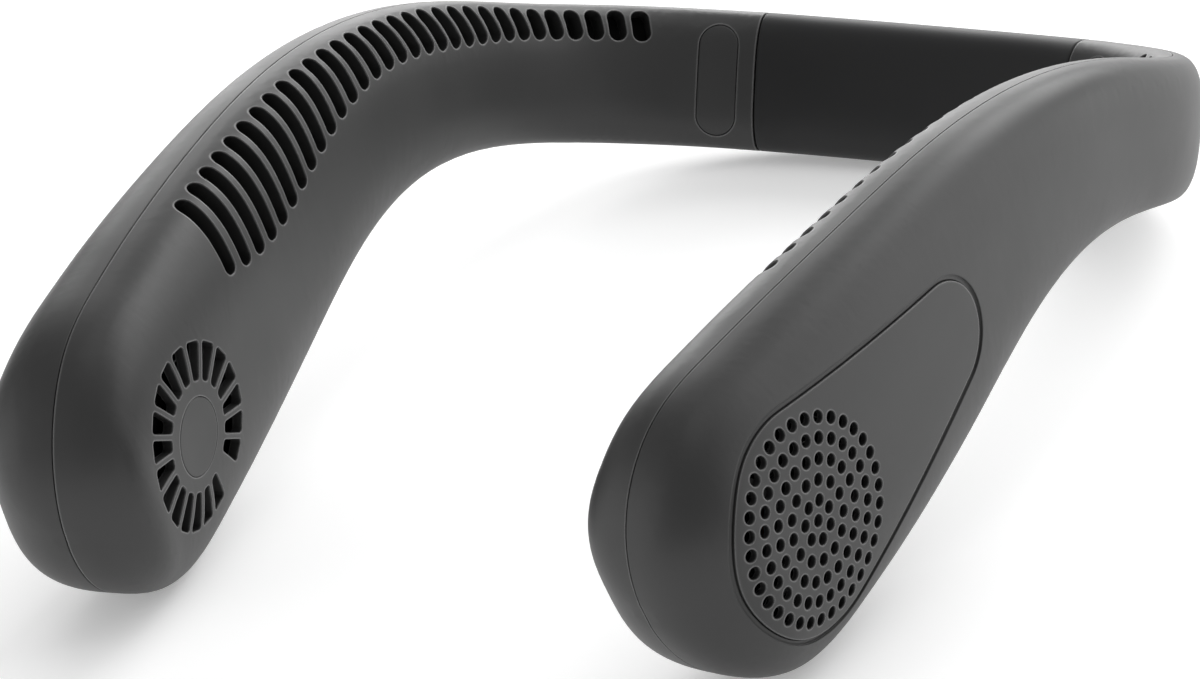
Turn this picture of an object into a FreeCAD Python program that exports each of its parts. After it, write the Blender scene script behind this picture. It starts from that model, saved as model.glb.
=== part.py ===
import FreeCAD
import Part

import math
import os

Vector = FreeCAD.Vector

# A bladeless neck fan: a flexible band behind the neck carries two hollow arms that run forward and down.
# Each arm ends in a bulb with a blower, which drives air back along the arm and out of slots
# in its top inner edge.
# Lengths are in millimetres and angles in degrees.

# Centre line of the right half, from the middle of the band to the tip of the arm, laid out as worn
band_straight_length = 21.0
band_bend_radius = 420.0
corner_length = 92.0
corner_turn_angle = 72.0
arm_length = 168.0
arm_bend_radius = 620.0
slope_start = 92.0
slope_length = 108.0
arm_slope_angle = 37.8
arm_lean_angle = 2.0

# Cross-section, from the band to the bulb
band_half_height = 14.3
bulb_half_height = 31.0
height_flare_start = 82.0
height_flare_length = 171.0
band_half_thickness = 6.5
tip_half_thickness = 20.8
outer_flare_start = 63.6
outer_flare_length = 249.3
inner_half_thickness = 16.1
inner_flare_start = 81.4
inner_flare_length = 164.0
section_corner_share = 0.784
tip_round_length = 30.0
outer_edge_length = 16.6
inner_edge_length = 9.5

# Shells and band
shell_wall = 2.2
seam_gap = 0.24
fit_gap = 0.15
cut_overrun = 3.0
band_seam_run = 38.5
band_seam_gap = 0.3
sleeve_wall = 2.2
spring_strip_thickness = 0.5
spring_strip_height = 14.0
spring_strip_tail = 7.4
lead_radius = 1.2
lead_height = 8.7
lead_tail = 18.0

# Anchor block that joins the band to an arm, its screws and their cover
anchor_spigot_length = 9.0
anchor_block_length = 19.0
anchor_slot_gap = 0.2
screw_cover_run = 47.4
screw_cover_width = 8.0
screw_cover_height = 22.6
screw_cover_thickness = 1.1
anchor_screw_spacing = 12.0
anchor_screw_sink = 0.6

# Screws, all of one size
screw_radius = 1.0
screw_head_radius = 1.9
screw_head_height = 1.1
screw_hole_gap = 0.2
boss_radius = 2.9
boss_floor = 1.2
anchor_screw_length = 6.5
case_screw_bite = 6.0
press_gap = 0.02

# Outlet slots
slot_count = 31
slot_first_run = 216.6
slot_last_run = 66.0
slot_crowding_share = 0.165
slot_width = 3.8
slot_corner_radius = 1.75
slot_front_margin = 5.2
slot_rear_margin = 3.6
slot_low_rise = 7.3
slot_front_lift = 6.7
slot_front_lift_share = 0.15
slot_middle_lift = 2.5
slot_middle_share = 0.42
slot_middle_spread_share = 0.27
slot_front_lean = 3.8
slot_rear_lean = -0.9
slot_corner_lean = 4.7
slot_corner_share = 0.58
slot_corner_spread_share = 0.42
slot_pad_depth = 4.6
slot_pad_margin = 1.3

# Blower place and inner grille
fan_tip_distance = 30.9
grille_slot_count = 20
grille_blank_index = 16
grille_inner_radius = 10.9
grille_outer_radius = 18.5
grille_spoke_width = 1.2
grille_corner_radius = 0.85
grille_turn_angle = -5.6
hub_cap_radius = 7.7
hub_cap_thickness = 0.9

# Outer intake cover
cover_big_radius = 22.2
cover_small_radius = 11.1
cover_centre_distance = 50.4
cover_thickness = 1.4
cover_sink = 0.12
cover_groove_width = 1.1
cover_groove_depth = 0.45
cover_floor = 1.5
cover_floor_margin = 1.6
cover_hole_radius = 1.25
cover_ring_counts = (1, 7, 13, 20, 27, 34)
cover_field_radius = 19.0
intake_spoke_count = 3
intake_spoke_width = 3.2
intake_window_margin = 1.3
case_screw_near_distance = 29.0
case_screw_near_offset = 7.6
case_screw_far_distance = 51.0
case_screw_far_offset = 4.2

# Blower wheel and motor, measured from the middle plane of the bulb outwards
wheel_radius = 20.3
wheel_eye_radius = 13.4
wheel_inner_reach = 10.0
wheel_outer_reach = 10.2
wheel_blade_count = 26
wheel_blade_thickness = 0.8
wheel_blade_bow = 1.3
wheel_blade_sweep_angle = 14.0
wheel_ring_width = 1.5
wheel_ring_thickness = 0.9
wheel_web_thickness = 1.2
wheel_hub_wall = 1.1
rotor_radius = 8.2
rotor_wall = 0.9
rotor_inner_reach = 0.8
rotor_outer_reach = 11.0
motor_shaft_radius = 1.0
bush_wall = 1.1
bush_running_gap = 0.03
bush_length = 8.6
motor_seat_radius = 8.6
motor_base_thickness = 1.5
motor_seat_drop = 0.9
motor_tube_wall = 1.1
stator_radius = 6.7
stator_length = 5.6
stator_pole_count = 6
stator_slot_width = 1.5
stator_slot_depth = 1.9

# Scroll wall round the wheel
scroll_start_radius = 22.2
scroll_end_radius = 26.2
scroll_wall = 1.1
scroll_start_angle = 50.0
scroll_sweep_angle = 320.0
scroll_throat_length = 18.0
scroll_half_width = 22.0

# Air duct divider and battery cell
divider_length = 48.0
divider_drop = 1.6
divider_thickness = 1.2
cell_start_distance = 34.0
cell_length = 45.0
cell_height = 16.0
cell_thickness = 9.6
cell_corner_radius = 1.6
cell_gap = 0.3

# Controls, in the left arm only
control_run = 152.0
board_length = 30.0
board_height = 23.0
board_thickness = 1.0
board_level = 1.5
board_drop = 0.6
board_post_radius = 1.7
board_post_inset = 2.4
board_screw_length = 4.0
button_radius = 4.2
button_proud = 0.5
button_gap = 0.25
button_flange_width = 1.0
button_flange_thickness = 0.8
button_travel = 0.6
button_stem_radius = 1.6
button_flange_drop = 0.9
button_rise = 3.4
switch_width = 5.2
switch_height = 1.5
switch_plunger_radius = 1.3
switch_plunger_height = 0.5
light_count = 4
light_pitch = 3.4
light_radius = 0.7
light_drop = 5.0
light_gap = 0.1
port_width = 8.9
port_depth = 3.2
port_length = 7.3
port_wall = 0.35
port_tongue_thickness = 0.7
port_tongue_width = 6.8
port_tongue_length = 6.2
port_sink = 0.5
port_hole_gap = 0.2

# Smoothness of the lofted forms
path_step_count = 600
rest_point_count = 96
body_section_count = 21
parting_section_count = 49
pad_section_count = 31
section_point_count = 24
dome_angles = (90.0, 74.0, 59.0, 46.0, 35.0, 26.0, 18.0, 11.0, 5.0)

arm_end = band_straight_length + corner_length + arm_length
fan_run = arm_end - fan_tip_distance
section_power = math.log(0.5) / math.log(section_corner_share)


def ease(share):
    """Smooth step: 0 before share 0, 1 after share 1."""
    share = min(max(share, 0.0), 1.0)
    return share * share * (3.0 - 2.0 * share)


def mix(start, end, share):
    return start + (end - start) * share


# Centre line and sections


def worn_axes(run):
    """Forward, outward and upward directions of the section at run, in the worn attitude."""
    corner_end = band_straight_length + corner_length
    corner_share = ease((run - band_straight_length) / corner_length)
    turn = min(run, corner_end) / band_bend_radius
    turn += math.radians(corner_turn_angle) * corner_share
    turn += max(run - corner_end, 0.0) / arm_bend_radius
    fall = math.radians(arm_slope_angle) * ease((run - slope_start) / slope_length)
    along = Vector(math.cos(fall) * math.cos(turn), -math.cos(fall) * math.sin(turn), -math.sin(fall))
    level = Vector(math.sin(turn), math.cos(turn), 0.0)
    upright = along.cross(level)
    lean = math.radians(arm_lean_angle) * corner_share
    out = level * math.cos(lean) - upright * math.sin(lean)
    return along, out, along.cross(out)


def trace_centre_line():
    """Points of the worn centre line at even steps from the middle of the band to the tip."""
    step = arm_end / path_step_count
    points = [Vector(0.0, 0.0, 0.0)]
    for index in range(path_step_count):
        points.append(points[-1] + worn_axes((index + 0.5) * step)[0] * step)
    return points


centre_line = trace_centre_line()


def worn_point(run):
    """Point of the worn centre line; past its end it runs on straight."""
    place = min(max(run / arm_end, 0.0), 1.0) * path_step_count
    index = min(int(place), path_step_count - 1)
    low, high = centre_line[index], centre_line[index + 1]
    point = low + (high - low) * (place - index)
    if run > arm_end:
        point = point + worn_axes(arm_end)[0] * (run - arm_end)
    return point


def tip_rounding(left, length):
    """How much of a half size is left at a distance from the tip, rounded off over a length."""
    share = 1.0 - min(left / length, 1.0)
    return math.sqrt(1.0 - share * share)


def half_sizes(run, inset=0.0):
    """Half height, outer and inner half thickness of the section at run, taken in by inset."""
    run = abs(run)
    height = mix(band_half_height, bulb_half_height, ease((run - height_flare_start) / height_flare_length))
    outer_share = ease((run - outer_flare_start) / outer_flare_length)
    outer = mix(band_half_thickness, tip_half_thickness, outer_share)
    inner_share = ease((run - inner_flare_start) / inner_flare_length)
    inner = mix(band_half_thickness, inner_half_thickness, inner_share)
    left = max(arm_end - inset - run, 0.0)
    height = (height - inset) * tip_rounding(left, tip_round_length - inset)
    outer = (outer - inset) * tip_rounding(left, outer_edge_length - inset)
    inner = (inner - inset) * tip_rounding(left, inner_edge_length - inset)
    return height, outer, inner


def section_reach(share):
    """How far the section's outline reaches one way at a share of its reach the other way."""
    return (1.0 - abs(share) ** section_power) ** (1.0 / section_power)


def section_offsets(sizes, angle):
    """Outward and upward offsets of a section's outline at an angle round it."""
    height, outer, inner = sizes
    cosine, sine = math.cos(angle), math.sin(angle)
    reach = (abs(cosine) ** section_power + abs(sine) ** section_power) ** (-1.0 / section_power)
    return cosine * reach * (outer if cosine > 0.0 else inner), sine * reach * height


def rest_attitude():
    """Tilt and shift that lay the worn fan on a table, on its band and both tips, centred front to back."""
    angles = [2.0 * math.pi * index / rest_point_count for index in range(rest_point_count)]
    band, arm = [], []
    for index in range(path_step_count // 2 + 1):
        run = 2.0 * arm_end * index / path_step_count
        _, out, up = worn_axes(run)
        sizes = half_sizes(run)
        ring = band if run < arm_end / 2.0 else arm
        for angle in angles:
            outward, upward = section_offsets(sizes, angle)
            ring.append(worn_point(run) + out * outward + up * upward)

    def lowest(points, tilt):
        return min(point.z * math.cos(tilt) - point.y * math.sin(tilt) for point in points)

    low, high = 0.0, math.pi / 3.0
    for _ in range(path_step_count // 10):
        tilt = (low + high) / 2.0
        if lowest(band, tilt) > lowest(arm, tilt):
            low = tilt
        else:
            high = tilt
    depths = [point.y * math.cos(tilt) + point.z * math.sin(tilt) for point in band + arm]
    return tilt, Vector(0.0, -(min(depths) + max(depths)) / 2.0, -lowest(band + arm, tilt))


rest_tilt, rest_shift = rest_attitude()


def rest_vector(vector):
    """A worn direction turned into the rest attitude."""
    cosine, sine = math.cos(rest_tilt), math.sin(rest_tilt)
    return Vector(vector.x, vector.y * cosine + vector.z * sine, vector.z * cosine - vector.y * sine)


class Station:
    """A cross-section of the fan: its place and axes. Runs below zero are on the left half of the band."""

    def __init__(self, run):
        self.run = run
        along, out, up = worn_axes(abs(run))
        self.centre = rest_vector(worn_point(abs(run))) + rest_shift
        self.along = rest_vector(along)
        self.out = rest_vector(out)
        self.up = rest_vector(up)
        if run < 0.0:
            self.centre.x = -self.centre.x
            self.out.x = -self.out.x
            self.up.x = -self.up.x
            self.along = self.out.cross(self.up)

    def point(self, outward, upward):
        return self.centre + self.out * outward + self.up * upward

    def placement(self):
        """Local axes of the section: X back along the arm, Y up, Z outwards."""
        back = self.along * -1.0
        return FreeCAD.Placement(FreeCAD.Matrix(
            back.x, self.up.x, self.out.x, self.centre.x,
            back.y, self.up.y, self.out.y, self.centre.y,
            back.z, self.up.z, self.out.z, self.centre.z))


# Solid helpers


def placed(shape, run):
    """A copy of a shape drawn in the local axes of the section at run."""
    moved = shape.copy()
    moved.Placement = Station(run).placement().multiply(moved.Placement)
    return moved


def mirrored(shape):
    return shape.mirror(Vector(0.0, 0.0, 0.0), Vector(1.0, 0.0, 0.0))


def rod(radius, low, high, x=0.0, y=0.0):
    """Round bar along local Z."""
    return Part.makeCylinder(radius, high - low, Vector(x, y, low), Vector(0.0, 0.0, 1.0))


def tube(outer_radius, inner_radius, low, high, x=0.0, y=0.0):
    return rod(outer_radius, low, high, x, y).cut(rod(inner_radius, low, high, x, y))


def block(width, height, low, high, x=0.0, y=0.0):
    """Bar of rectangular section along local Z, centred on x and y."""
    return Part.makeBox(width, height, high - low, Vector(x - width / 2.0, y - height / 2.0, low))


def prism(wire, low, high):
    """A flat local outline carried along local Z."""
    face = Part.Face(wire)
    face.translate(Vector(0.0, 0.0, low))
    return face.extrude(Vector(0.0, 0.0, high - low))


def rounded_outline(corners, radius):
    """Closed outline through corners, each rounded by an arc."""
    arcs = []
    for index, corner in enumerate(corners):
        before = (corners[index - 1] - corner).normalize()
        after = (corners[(index + 1) % len(corners)] - corner).normalize()
        half = before.getAngle(after) / 2.0
        middle = (before + after).normalize()
        reach = radius / math.tan(half)
        crown = radius / math.sin(half) - radius
        arcs.append((corner + before * reach, corner + middle * crown, corner + after * reach))
    edges = []
    for index, (start, crown, end) in enumerate(arcs):
        edges.append(Part.Arc(start, crown, end).toShape())
        edges.append(Part.LineSegment(end, arcs[(index + 1) % len(arcs)][0]).toShape())
    return Part.Wire(edges)


def rectangle_outline(width, height, radius):
    x, y = width / 2.0, height / 2.0
    return rounded_outline([Vector(x, y), Vector(-x, y), Vector(-x, -y), Vector(x, -y)], radius)


def pill_outline(width, height):
    """Upright outline with two round ends."""
    radius, straight = width / 2.0, (height - width) / 2.0
    right, left = Vector(radius, straight), Vector(-radius, straight)
    low_left, low_right = Vector(-radius, -straight), Vector(radius, -straight)
    return Part.Wire([
        Part.Arc(right, Vector(0.0, straight + radius), left).toShape(),
        Part.LineSegment(left, low_left).toShape(),
        Part.Arc(low_left, Vector(0.0, -straight - radius), low_right).toShape(),
        Part.LineSegment(low_right, right).toShape()])


def teardrop_outline(grow):
    """Two circles joined by their outer tangents: the big one round the fan, the small one up the arm."""
    big, small = cover_big_radius + grow, cover_small_radius + grow
    lean = math.asin((big - small) / cover_centre_distance)
    normal = Vector(math.sin(lean), math.cos(lean))
    lower = Vector(normal.x, -normal.y)
    far = Vector(cover_centre_distance, 0.0)
    return Part.Wire([
        Part.Arc(normal * big, Vector(-big, 0.0), lower * big).toShape(),
        Part.LineSegment(lower * big, far + lower * small).toShape(),
        Part.Arc(far + lower * small, far + Vector(small, 0.0), far + normal * small).toShape(),
        Part.LineSegment(far + normal * small, normal * big).toShape()])


def section_wire(run, inset):
    """Closed outline of the section at run, taken in by inset, starting at its top."""
    station = Station(run)
    sizes = half_sizes(run, inset)
    points = []
    for index in range(section_point_count):
        angle = math.pi / 2.0 - 2.0 * math.pi * index / section_point_count
        points.append(station.point(*section_offsets(sizes, angle)))
    curve = Part.BSplineCurve()
    knots = [index / section_point_count for index in range(section_point_count + 1)]
    curve.interpolate(Points=points, PeriodicFlag=True, Parameters=knots)
    return Part.Wire([curve.toShape()])


def even_runs(start, end, count):
    return [mix(start, end, index / (count - 1)) for index in range(count)]


def form_runs(start, inset):
    """Runs of the sections that an arm is lofted through: even along the arm, closing up round the tip."""
    dome_length = tip_round_length - inset
    runs = even_runs(start, arm_end - tip_round_length, body_section_count)[:-1]
    for angle in dome_angles:
        runs.append(arm_end - inset - dome_length * (1.0 - math.cos(math.radians(angle))))
    return runs


form_store = {}


def arm_form(inset, start=band_seam_run):
    """Solid of the right arm's outside, taken in by inset, from start to the tip."""
    key = (inset, start)
    if key not in form_store:
        wires = [section_wire(run, inset) for run in form_runs(start, inset)]
        form_store[key] = Part.makeLoft(wires, True, False)
    return form_store[key]


def band_form(inset, start, end, count):
    """Solid of the band's section, taken in by inset, between two runs."""
    return Part.makeLoft([section_wire(run, inset) for run in even_runs(start, end, count)], True, False)


def side_block(side):
    """Everything on the outer (1) or inner (-1) side of the right arm's parting surface."""
    wires = []
    runs = even_runs(band_seam_run - cut_overrun, arm_end + cut_overrun, parting_section_count)
    for run in runs:
        station = Station(run)
        height = half_sizes(min(run, arm_end - tip_round_length))[0] + cut_overrun
        near = side * seam_gap / 2.0
        far = side * (tip_half_thickness + cut_overrun)
        corners = [station.point(near, height), station.point(far, height),
                   station.point(far, -height), station.point(near, -height)]
        wires.append(Part.makePolygon(corners + corners[:1]))
    return Part.makeLoft(wires, True, False)


def ribbon(runs, outward, low, high, thickness):
    """Strip that follows the centre line, standing between two heights at an outward offset."""
    wires = []
    for run in runs:
        station = Station(run)
        inner, outer = outward - thickness / 2.0, outward + thickness / 2.0
        corners = [station.point(inner, low), station.point(outer, low),
                   station.point(outer, high), station.point(inner, high)]
        wires.append(Part.makePolygon(corners + corners[:1]))
    return Part.makeLoft(wires, True, False)


def layer(shape, outer_inset, inner_inset):
    """The part of a shape that lies between two depths below the arm's surface."""
    return shape.common(arm_form(outer_inset)).cut(arm_form(inner_inset))


# Band


def neck_sleeve():
    """Silicone sleeve between the arms, open at both ends."""
    end = band_seam_run - band_seam_gap
    outside = band_form(0.0, -end, end, body_section_count)
    reach = end + cut_overrun
    return outside.cut(band_form(sleeve_wall, -reach, reach, body_section_count))


def spring_strip():
    """Spring steel strip that keeps the band's curve, its tails held in the anchors."""
    reach = band_seam_run + spring_strip_tail
    half = spring_strip_height / 2.0
    return ribbon(even_runs(-reach, reach, body_section_count), 0.0, -half, half, spring_strip_thickness)


def arm_lead():
    """Lead that joins the two arms, above the spring strip."""
    reach = band_seam_run + lead_tail
    wires = []
    for run in even_runs(-reach, reach, body_section_count):
        station = Station(run)
        circle = Part.Circle(station.point(0.0, lead_height), station.along, lead_radius)
        wires.append(Part.Wire([circle.toShape()]))
    return Part.makeLoft(wires, True, False)


def screw(length, head_low):
    """Pan head screw along local Z, its head from head_low outwards and its shank inwards."""
    shank = rod(screw_radius, head_low - length, head_low)
    return shank.fuse(rod(screw_head_radius, head_low, head_low + screw_head_height))


def screw_seat_level():
    """Local height, from the middle plane inwards, of the anchor screws' bearing face."""
    return half_sizes(screw_cover_run)[2] - screw_cover_thickness - anchor_screw_sink - screw_head_height


def anchor_screw_offsets():
    return (-anchor_screw_spacing / 2.0, anchor_screw_spacing / 2.0)


def band_anchor():
    """Block that fills the arm's open end and carries on into the sleeve as a spigot."""
    start = band_seam_run - anchor_spigot_length
    end = band_seam_run + anchor_block_length
    body = band_form(max(shell_wall, sleeve_wall) + fit_gap, start, end, body_section_count)
    reach = band_seam_run + spring_strip_tail + anchor_slot_gap
    half = spring_strip_height / 2.0 + anchor_slot_gap
    slot_runs = even_runs(start - cut_overrun, reach, body_section_count)
    body = body.cut(ribbon(slot_runs, 0.0, -half, half, spring_strip_thickness + 2.0 * anchor_slot_gap))
    wires = []
    for run in even_runs(start - cut_overrun, end + cut_overrun, body_section_count):
        station = Station(run)
        circle = Part.Circle(station.point(0.0, lead_height), station.along, lead_radius + anchor_slot_gap)
        wires.append(Part.Wire([circle.toShape()]))
    body = body.cut(Part.makeLoft(wires, True, False))
    level = screw_seat_level()
    for offset in anchor_screw_offsets():
        well = rod(boss_radius + fit_gap, -tip_half_thickness, fit_gap + boss_floor - level, 0.0, offset)
        pilot_end = anchor_screw_length - level + fit_gap
        pilot = rod(screw_radius + press_gap, -tip_half_thickness, pilot_end, 0.0, offset)
        body = body.cut(placed(well.fuse(pilot), screw_cover_run))
    return body


def anchor_screws():
    """Two screws through the inner shell into the anchor, heads towards the neck."""
    level = screw_seat_level()
    screws = []
    for offset in anchor_screw_offsets():
        part = screw(anchor_screw_length, level)
        part.rotate(Vector(0.0, 0.0, 0.0), Vector(1.0, 0.0, 0.0), 180.0)
        part.translate(Vector(0.0, offset, 0.0))
        screws.append(placed(part, screw_cover_run))
    return Part.makeCompound(screws)


def screw_cover():
    """Pill-shaped plate, flush with the inner face, over the anchor screws."""
    outline = pill_outline(screw_cover_width, screw_cover_height)
    plug = placed(prism(outline, -tip_half_thickness, 0.0), screw_cover_run)
    return layer(plug, 0.0, screw_cover_thickness)


# Shells


def hump(share, middle, spread):
    """Smooth rise to 1 at the middle share, back to 0 a spread away."""
    return ease(1.0 - abs(share - middle) / spread)


def slot_run(share):
    """Run of the slot at a share of the row, which stands closer in its middle than at its ends."""
    crowding = slot_crowding_share * share * (share - 1.0) * (2.0 * share - 1.0)
    return mix(slot_first_run, slot_last_run, share + crowding)


class SlotChord:
    """Straight line over the top inner edge at a share of the row, from a slot's lower to its upper end."""

    def __init__(self, share):
        run = slot_run(share)
        lean = mix(slot_front_lean, slot_rear_lean, share)
        lean -= slot_corner_lean * hump(share, slot_corner_share, slot_corner_spread_share)
        rise = slot_low_rise + slot_middle_lift * hump(share, slot_middle_share, slot_middle_spread_share)
        rise += slot_front_lift * max(1.0 - share / slot_front_lift_share, 0.0) ** 2
        upper_run, lower_run = run - lean / 2.0, run + lean / 2.0
        height, _, thickness = half_sizes(upper_run)
        margin = mix(slot_front_margin, slot_rear_margin, share)
        upper = Station(upper_run).point(-margin, height * section_reach(margin / thickness))
        height, _, thickness = half_sizes(lower_run)
        lower = Station(lower_run).point(-thickness * section_reach(rise / height), rise)
        self.middle = (upper + lower) * 0.5
        self.length = (upper - lower).Length
        self.direction = (upper - lower).normalize()
        self.normal = self.direction.cross(Station(run).along).normalize()

    def point(self, rise, outwards):
        return self.middle + self.direction * rise + self.normal * outwards


def slot_cutter(index):
    """One outlet slot: a rounded bar square to its chord."""
    chord = SlotChord(index / (slot_count - 1))
    outline = rectangle_outline(slot_width, chord.length, slot_corner_radius)
    bar = prism(outline, -slot_pad_depth - cut_overrun, chord.length)
    across = chord.direction.cross(chord.normal)
    bar.Placement = FreeCAD.Placement(FreeCAD.Matrix(
        across.x, chord.direction.x, chord.normal.x, chord.middle.x,
        across.y, chord.direction.y, chord.normal.y, chord.middle.y,
        across.z, chord.direction.z, chord.normal.z, chord.middle.z))
    return bar


def slot_pad():
    """Thick band of wall that the outlet slots pass through, so that their ribs stand deep."""
    reach_share = (slot_width / 2.0 + slot_pad_margin) / (slot_first_run - slot_last_run)
    wires = []
    for share in even_runs(-reach_share, 1.0 + reach_share, pad_section_count):
        chord = SlotChord(share)
        half = chord.length / 2.0 + slot_pad_margin
        corners = [chord.point(-half, -slot_pad_depth), chord.point(half, -slot_pad_depth),
                   chord.point(half, slot_pad_depth), chord.point(-half, slot_pad_depth)]
        wires.append(Part.makePolygon(corners + corners[:1]))
    return layer(Part.makeLoft(wires, True, False), shell_wall / 2.0, slot_pad_depth)


def grille_slot_outline():
    """One radial slot about local X, its sides parallel to the spokes beside it."""
    half_pitch = math.pi / grille_slot_count
    half_spoke = grille_spoke_width / 2.0
    inner = grille_inner_radius * math.tan(half_pitch) - half_spoke / math.cos(half_pitch)
    outer = grille_outer_radius * math.tan(half_pitch) - half_spoke / math.cos(half_pitch)
    return rounded_outline([
        Vector(grille_outer_radius, outer), Vector(grille_inner_radius, inner),
        Vector(grille_inner_radius, -inner), Vector(grille_outer_radius, -outer)], grille_corner_radius)


def grille_cutters():
    """Radial intake slots, a full ring but for one blank place."""
    cutters = []
    low = -tip_half_thickness - cut_overrun
    for index in range(grille_slot_count):
        if index == grille_blank_index:
            continue
        bar = prism(grille_slot_outline(), low, -tip_half_thickness / 2.0)
        angle = 360.0 * (index + 0.5) / grille_slot_count + grille_turn_angle
        bar.rotate(Vector(0.0, 0.0, 0.0), Vector(0.0, 0.0, 1.0), angle)
        cutters.append(placed(bar, fan_run))
    return cutters


def case_screw_places():
    """Local places, in the fan's section, of the screws that close an arm."""
    return ((case_screw_near_distance, case_screw_near_offset),
            (case_screw_near_distance, -case_screw_near_offset),
            (case_screw_far_distance, case_screw_far_offset))


def case_screw_level():
    """Local height of the bearing face under the case screws' heads."""
    run = fan_run - case_screw_far_distance
    far_level = Station(fan_run).out.dot(Station(run).centre - Station(fan_run).centre) + half_sizes(run)[1]
    return far_level - cover_sink - cover_thickness - fit_gap - screw_head_height - cover_floor


def inner_shell(halved):
    """Shell on the neck side, with the outlet slots, the grille and the screw bosses."""
    shell = halved
    bosses = [rod(boss_radius, -tip_half_thickness, -seam_gap, x, y) for x, y in case_screw_places()]
    posts = placed(Part.makeCompound(bosses), fan_run).common(arm_form(shell_wall / 2.0))
    seats = [rod(boss_radius, -tip_half_thickness, boss_floor - screw_seat_level(), 0.0, offset)
             for offset in anchor_screw_offsets()]
    seats = placed(Part.makeCompound(seats), screw_cover_run).common(arm_form(shell_wall / 2.0))
    shell = shell.fuse([slot_pad().common(side_block(-1))] + posts.Solids + seats.Solids)
    low = -tip_half_thickness - cut_overrun
    cap_pocket = placed(rod(hub_cap_radius + fit_gap, low, 0.0), fan_run)
    cap_pocket = cap_pocket.cut(arm_form(hub_cap_thickness + fit_gap))
    pill = pill_outline(screw_cover_width + 2.0 * fit_gap, screw_cover_height + 2.0 * fit_gap)
    pill_pocket = placed(prism(pill, low, 0.0), screw_cover_run)
    pill_pocket = pill_pocket.cut(arm_form(screw_cover_thickness + fit_gap))
    tools = [slot_cutter(index) for index in range(slot_count)]
    tools += grille_cutters() + [cap_pocket, pill_pocket]
    for x, y in case_screw_places():
        tools.append(placed(rod(screw_radius + press_gap, -case_screw_bite, cut_overrun, x, y), fan_run))
    for offset in anchor_screw_offsets():
        head = rod(screw_head_radius + screw_hole_gap, low, -screw_seat_level(), 0.0, offset)
        hole = rod(screw_radius + screw_hole_gap, low, 0.0, 0.0, offset)
        tools.append(placed(head.fuse(hole), screw_cover_run))
    return shell.cut(tools)


def hub_cap():
    """Round cap set flush in the hub of the grille."""
    plug = placed(rod(hub_cap_radius, -tip_half_thickness - cut_overrun, 0.0), fan_run)
    return layer(plug, 0.0, hub_cap_thickness)


def cover_seat_depth():
    return cover_sink + cover_thickness + fit_gap


def pad_room():
    """Space that the floor under the intake cover takes inside the arm, with a gap all round."""
    outline = teardrop_outline(cover_floor_margin + fit_gap)
    room = placed(prism(outline, 0.0, tip_half_thickness + cut_overrun), fan_run)
    return room.cut(arm_form(cover_seat_depth() + cover_floor + fit_gap))


def motor_seat_level():
    """Local height of the flat seat that the motor base is glued to."""
    return half_sizes(fan_run)[1] - cover_seat_depth() - cover_floor - motor_seat_drop


def outer_shell(halved):
    """Shell on the outside, with the recess for the intake cover, the intake window and the motor seat."""
    high = tip_half_thickness + cut_overrun
    seat = cover_seat_depth()
    pad = placed(prism(teardrop_outline(cover_floor_margin), 0.0, high), fan_run)
    pad = layer(pad, shell_wall / 2.0, seat + cover_floor)
    bosses = [rod(boss_radius, seam_gap, high, x, y) for x, y in case_screw_places()]
    posts = placed(Part.makeCompound(bosses), fan_run).common(arm_form(seat))
    motor_seat = placed(rod(motor_seat_radius, motor_seat_level(), high), fan_run).common(arm_form(seat))
    shell = halved.fuse([pad, motor_seat] + posts.Solids)
    recess = placed(prism(teardrop_outline(fit_gap), 0.0, high), fan_run).cut(arm_form(seat))
    groove = placed(prism(teardrop_outline(cover_groove_width), 0.0, high), fan_run)
    groove = groove.cut(arm_form(cover_groove_depth))
    window = tube(cover_field_radius + intake_window_margin, motor_seat_radius, 0.0, high)
    for index in range(intake_spoke_count):
        spoke = block(2.0 * cover_big_radius, intake_spoke_width, 0.0, high, cover_big_radius)
        spoke.rotate(Vector(0.0, 0.0, 0.0), Vector(0.0, 0.0, 1.0), 360.0 * index / intake_spoke_count)
        window = window.cut(spoke)
    tools = [recess, groove] + [placed(piece, fan_run) for piece in window.Solids]
    level = case_screw_level()
    for x, y in case_screw_places():
        hole = rod(screw_radius + screw_hole_gap, 0.0, high, x, y)
        head = rod(screw_head_radius + screw_hole_gap, level, high, x, y)
        tools.append(placed(hole.fuse(head), fan_run))
    return shell.cut(tools)


def intake_cover():
    """Teardrop plate that follows the outer face, with rings of holes over the fan."""
    high = tip_half_thickness + cut_overrun
    plug = placed(prism(teardrop_outline(0.0), 0.0, high), fan_run)
    plate = layer(plug, cover_sink, cover_sink + cover_thickness)
    holes = []
    ring_pitch = cover_field_radius / (len(cover_ring_counts) - 1)
    for ring, count in enumerate(cover_ring_counts):
        for index in range(count):
            angle = 2.0 * math.pi * index / count
            x, y = ring * ring_pitch * math.cos(angle), ring * ring_pitch * math.sin(angle)
            holes.append(placed(rod(cover_hole_radius, 0.0, high, x, y), fan_run))
    return plate.cut(holes)


def case_screws():
    """Screws under the intake cover that pull the two shells together."""
    level = case_screw_level()
    screws = []
    for x, y in case_screw_places():
        part = screw(level + case_screw_bite - fit_gap, level)
        part.translate(Vector(x, y, 0.0))
        screws.append(placed(part, fan_run))
    return Part.makeCompound(screws)


# Blower


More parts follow.
